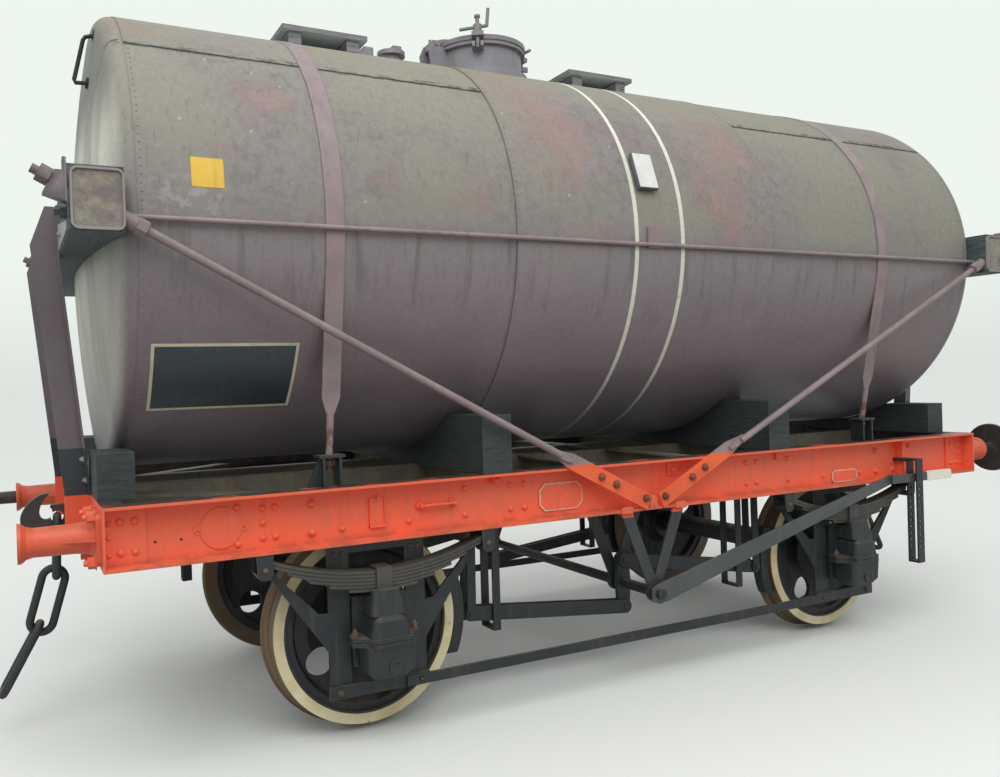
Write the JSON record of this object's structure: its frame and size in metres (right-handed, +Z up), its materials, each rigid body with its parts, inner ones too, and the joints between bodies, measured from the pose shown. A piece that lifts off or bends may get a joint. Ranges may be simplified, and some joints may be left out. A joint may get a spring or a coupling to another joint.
{
  "type": "railway tank car",
  "caption": "Short railway tank car: horizontal lapped tank on a channel underframe, end baulks with tie rods, hand brake levers, buffers and a hinged manhole lid.",
  "frame": {"origin": "on the floor under the middle of the car, at the lowest points of the wheel flanges", "axes": "+X along the car towards the end with both buffers on the front side, +Y across it, +Z up"},
  "size_m": [6.64, 2.48, 3.897],
  "materials": {
    "tank_paint": "satin",
    "rod_paint": "satin",
    "frame_red": "satin",
    "post_paint": "satin",
    "running_black": "matt",
    "wheel_rim": "worn",
    "wheel_black": "matt",
    "lever_paint": "satin",
    "hook_iron": "matt",
    "inner_frame": "matt",
    "timber": "weathered",
    "baulk_timber": "weathered",
    "board": "weathered"
  },
  "bodies": {
    "wagon": {"axle_guards": "running_black", "axleboxes": "running_black", "baulk_caps": "rod_paint", "block_hangers": "running_black", "brake_blocks": "running_black", "brake_carriers": "running_black", "brake_lever_back": "lever_paint", "brake_lever_front": "lever_paint", "buffer_casing_empty": "frame_red", "buffer_casings": "frame_red", "buffer_rams": "hook_iron", "corner_plates": "frame_red", "coupling_left": "hook_iron", "coupling_right": "hook_iron", "cross_members": "inner_frame", "cross_shaft": "running_black", "diagonal_braces": "inner_frame", "diagonal_rods": "rod_paint", "drawhook_left": "hook_iron", "drawhook_right": "hook_iron", "end_baulk_left": "baulk_timber", "end_baulk_right": "baulk_timber", "end_blocks": "timber", "end_stanchions": "post_paint", "headstock_left": "frame_red", "headstock_right": "frame_red", "leaf_springs": "running_black", "lever_guards": "running_black", "longitudinals": "inner_frame", "manhole_neck": "tank_paint", "push_rods": "running_black", "relief_valve": "tank_paint", "rod_seats": "rod_paint", "saddles": "timber", "safety_loops": "running_black", "side_rods": "rod_paint", "solebar_back": "frame_red", "solebar_front": "frame_red", "spring_shoes": "running_black", "strap_anchors": "running_black", "tank_barrel": "tank_paint", "tank_end_left": "tank_paint", "tank_end_right": "tank_paint", "tank_strap_left": "rod_paint", "tank_strap_right": "rod_paint", "tie_bars": "running_black", "v_hangers": "running_black", "walkway_left": "board", "walkway_right": "board"},
    "wheelset_1": {"axle_1": "wheel_black", "tyres_1": "wheel_rim", "wheel_centres_1": "wheel_black"},
    "wheelset_2": {"axle_2": "wheel_black", "tyres_2": "wheel_rim", "wheel_centres_2": "wheel_black"},
    "manhole_lid": {"manhole_lid": "tank_paint", "lid_clamps": "hook_iron"}
  },
  "joints": [
    {"name": "wheelset_1_roll", "type": "hinge", "parent": "wagon", "child": "wheelset_1", "pos_m": [-1.6, 0, 0.504], "axis": [0, 1, 0], "continuous": true},
    {"name": "wheelset_2_roll", "type": "hinge", "parent": "wagon", "child": "wheelset_2", "pos_m": [1.6, 0, 0.504], "axis": [0, 1, 0], "continuous": true},
    {"name": "manhole_lid_hinge", "type": "hinge", "parent": "wagon", "child": "manhole_lid", "pos_m": [-0.745, 0, 3.742], "axis": [0, -1, 0], "range_deg": [0, 100]}
  ]
}
